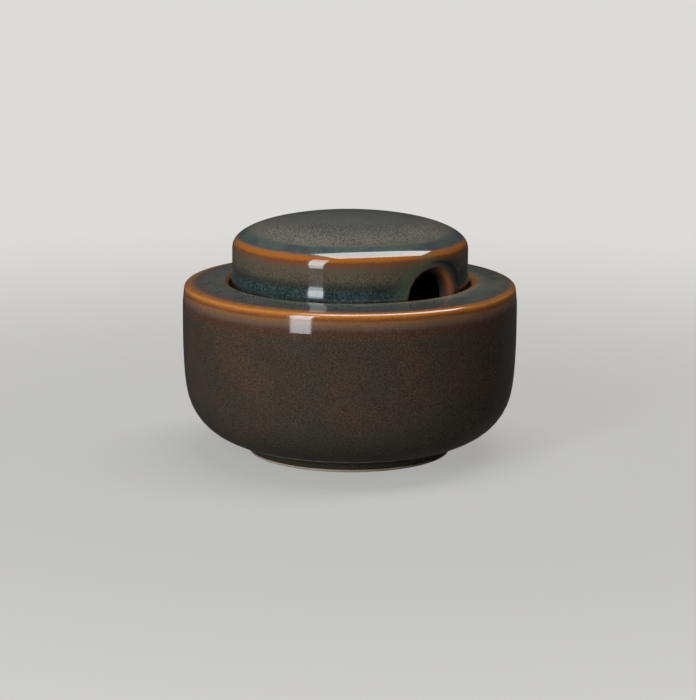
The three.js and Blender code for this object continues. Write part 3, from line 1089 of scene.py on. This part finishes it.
def bare_clay(settings):
    """Unglazed stoneware: pale, dry and slightly gritty."""
    g = settings.glaze
    bench = NodeBench("bare_clay")
    grit = bench.noise(bench.places(), feature=0.4, detail=3.0, roughness=0.7)
    cloud = bench.noise(bench.places(), feature=6.0)
    gritty = bench.spread(grit, *NOISE_SPAN, 0.0, 0.35)
    cloudy = bench.spread(cloud, *NOISE_SPAN, 0.0, 0.25)
    colour = bench.mix(bench.maths("ADD", gritty, cloudy), g.bare_clay, g.copper)
    roughness = bench.spread(grit, *NOISE_SPAN, 0.7, 0.9)
    return bench.finish(bench.surface(colour, roughness, grit, CLAY_RELIEF, CLAY_IOR))


# Studio


def studio_paper(settings):
    """Matt, pale paper, which is an even backdrop where it lies far from the object."""
    studio = settings.studio
    bench = NodeBench("studio_paper")
    tooth = bench.noise(bench.places(), feature=1.5, detail=3.0)
    warmth = bench.spread(tooth, *NOISE_SPAN, 0.0, 0.03)
    colour = bench.mix(warmth, studio.floor_colour, settings.glaze.bare_clay)
    roughness = bench.spread(tooth, *NOISE_SPAN, 0.8, 0.9)
    paper = bench.surface(colour, roughness, tooth, PAPER_RELIEF, PAPER_IOR)
    backdrop = bench.add("ShaderNodeEmission")
    backdrop.inputs["Color"].default_value = (*studio.backdrop_colour, 1.0)
    away = bench.vector("LENGTH", bench.places())
    start, end = studio.backdrop_start / MM, studio.backdrop_end / MM
    pale = bench.spread(away, start, end, studio.near_paleness, 1.0)
    path = bench.add("ShaderNodeLightPath")
    seen = path.outputs["Is Camera Ray"]
    for ray in ("Is Glossy Ray", "Is Transmission Ray"):
        seen = bench.maths("MAXIMUM", seen, path.outputs[ray])
    join = bench.add("ShaderNodeMixShader")
    for socket, value in zip(join.inputs, (bench.together(pale, seen), paper, backdrop.outputs[0])):
        bench.put(socket, value)
    return bench.finish(join.outputs[0])


def aim(thing, target, roll=0.0):
    """Turns a lamp or camera to face a point."""
    direction = Vector(target) - thing.location
    thing.rotation_euler = direction.to_track_quat("-Z", "Y").to_euler()
    thing.rotation_euler.rotate_axis("Z", roll)


def from_object(turn, rise, distance):
    """A place at a distance from the origin, turned round from the notch's side and raised."""
    level = math.cos(rise)
    return Vector((math.sin(turn) * level, -math.cos(turn) * level, math.sin(rise))) * distance


def add_softbox(name, place, width, height, power):
    """A rectangular lamp that faces down and doesn't show in the picture itself."""
    bpy.ops.object.light_add(type="AREA", location=place)
    lamp = bpy.context.object
    lamp.name = name
    lamp.data.shape = "RECTANGLE"
    lamp.data.size = width
    lamp.data.size_y = height
    lamp.data.energy = power
    lamp.visible_camera = False
    return lamp


class SUGARBOWL_OT_make_studio(bpy.types.Operator):
    """Set up the floor, the lamps and the camera"""

    bl_idname = "sugar_bowl.make_studio"
    bl_label = "Make Studio"
    bl_options = {"REGISTER", "UNDO"}

    FRAME_HEIGHT = 36.0  # of the camera's sensor, in millimetres
    NEAREST = 50 * MM  # the camera sees nothing nearer than this
    FURTHEST = 50000 * MM  # nor further away than this

    def execute(self, context):
        settings = context.scene.sugar_bowl
        self.make_floor(settings)
        self.make_lamps(settings.studio)
        self.make_camera(context, settings.studio)
        self.make_world(context, settings.studio)
        context.scene.view_settings.view_transform = "Standard"
        return {"FINISHED"}

    def make_floor(self, settings):
        """A wide, level sheet of paper, kept out of the glaze's mirror image."""
        bpy.ops.object.select_all(action="DESELECT")
        bpy.ops.mesh.primitive_plane_add(size=settings.studio.floor_width, location=(0.0, 0.0, 0.0))
        floor = bpy.context.object
        floor.name = "studio_floor"
        floor.visible_glossy = False
        floor.data.materials.append(studio_paper(settings))

    def make_lamps(self, s):
        """Five softboxes.

        On the camera's left stands a tall one. In the same place is a fill that stays out of the gloss, and
        in front of them a brighter strip. Overhead hangs a wide one that stays out of the gloss, and below it
        a panel that shows only there.
        """
        key = self.stand_softbox("key_softbox", s, s.key_rise, s.key_distance, s.key_height, s.key_power)
        key.data.color = s.key_colour
        fill = self.stand_softbox("key_fill", s, s.key_rise, s.key_distance, s.key_height, s.fill_power)
        fill.visible_glossy = False
        strip = self.stand_softbox(
            "key_strip", s, s.strip_rise, s.strip_distance, s.strip_height, s.strip_power
        )
        strip.data.color = s.key_colour
        top = self.hang_softbox(
            "top_softbox", s, s.top_right, s.top_back, s.top_width, s.top_depth, s.top_power
        )
        top.visible_glossy = False
        glow = self.hang_softbox(
            "top_glow", s, s.glow_right, s.glow_back, s.glow_width, s.glow_depth, s.glow_power
        )
        glow.visible_diffuse = False
        glow.location.z -= s.glow_below

    def stand_softbox(self, name, s, rise, distance, height, power):
        """A softbox on the camera's left that faces the object."""
        place = from_object(s.camera_turn + s.key_turn, rise, distance)
        lamp = add_softbox(name, place, s.key_width, height, power)
        aim(lamp, (0.0, 0.0, s.aim_height))
        return lamp

    def hang_softbox(self, name, s, right, back, width, depth, power):
        """A level softbox overhead, placed as seen from the camera."""
        rightwards = Vector((math.cos(s.camera_turn), math.sin(s.camera_turn), 0.0))
        backwards = from_object(s.camera_turn, 0.0, -back)
        place = rightwards * right + backwards + Vector((0.0, 0.0, s.top_height))
        lamp = add_softbox(name, place, width, depth, power)
        lamp.rotation_euler.z = s.camera_turn + s.top_turn
        return lamp

    def make_camera(self, context, s):
        """A camera that looks at the object from the left of the notch, slightly from above."""
        bpy.ops.object.camera_add(location=from_object(s.camera_turn, s.camera_rise, s.camera_distance))
        camera = bpy.context.object
        camera.name = "camera"
        camera.data.sensor_fit = "VERTICAL"
        camera.data.sensor_height = self.FRAME_HEIGHT
        camera.data.lens = s.lens
        camera.data.clip_start = self.NEAREST
        camera.data.clip_end = self.FURTHEST
        left = Vector((-math.cos(s.camera_turn), -math.sin(s.camera_turn), 0.0)) * s.aim_left
        aim(camera, left + Vector((0.0, 0.0, s.aim_height)), s.camera_roll)
        context.scene.camera = camera

    def make_world(self, context, s):
        """Faint, even light from all round."""
        world = bpy.data.worlds.new("studio_world")
        world.use_nodes = True
        background = world.node_tree.nodes["Background"]
        background.inputs["Color"].default_value = (1.0, 1.0, 1.0, 1.0)
        background.inputs["Strength"].default_value = s.world_light
        context.scene.world = world


# Panel and registration


class SUGARBOWL_PT_panel(bpy.types.Panel):
    """Lists the pieces, the studio and their settings"""

    bl_idname = "SUGARBOWL_PT_panel"
    bl_label = "Sugar Bowl"
    bl_space_type = "VIEW_3D"
    bl_region_type = "UI"
    bl_category = "Sugar Bowl"

    def draw(self, context):
        settings = context.scene.sugar_bowl
        for group_name, operator in PANEL_BOXES:
            box = self.layout.box()
            if operator is not None:
                box.operator(operator.bl_idname)
            group = getattr(settings, group_name)
            for name in group.bl_rna.properties.keys():
                if name not in ("rna_type", "name"):
                    box.prop(group, name)


PANEL_BOXES = (
    ("glaze", None),
    ("fineness", None),
    ("bowl", SUGARBOWL_OT_make_bowl),
    ("lid", SUGARBOWL_OT_make_lid),
    ("studio", SUGARBOWL_OT_make_studio),
)

CLASSES = (
    BowlSizes,
    LidSizes,
    GlazeColours,
    StudioSettings,
    PieceFineness,
    SugarBowlSettings,
    SUGARBOWL_OT_make_bowl,
    SUGARBOWL_OT_make_lid,
    SUGARBOWL_OT_make_studio,
    SUGARBOWL_PT_panel,
)


def register():
    for cls in CLASSES:
        bpy.utils.register_class(cls)
    bpy.types.Scene.sugar_bowl = PointerProperty(type=SugarBowlSettings)


def unregister():
    del bpy.types.Scene.sugar_bowl
    for cls in reversed(CLASSES):
        bpy.utils.unregister_class(cls)


def main():
    register()
    bpy.ops.sugar_bowl.make_bowl()
    bpy.ops.sugar_bowl.make_lid()
    bpy.ops.sugar_bowl.make_studio()


if __name__ == "__main__":
    main()
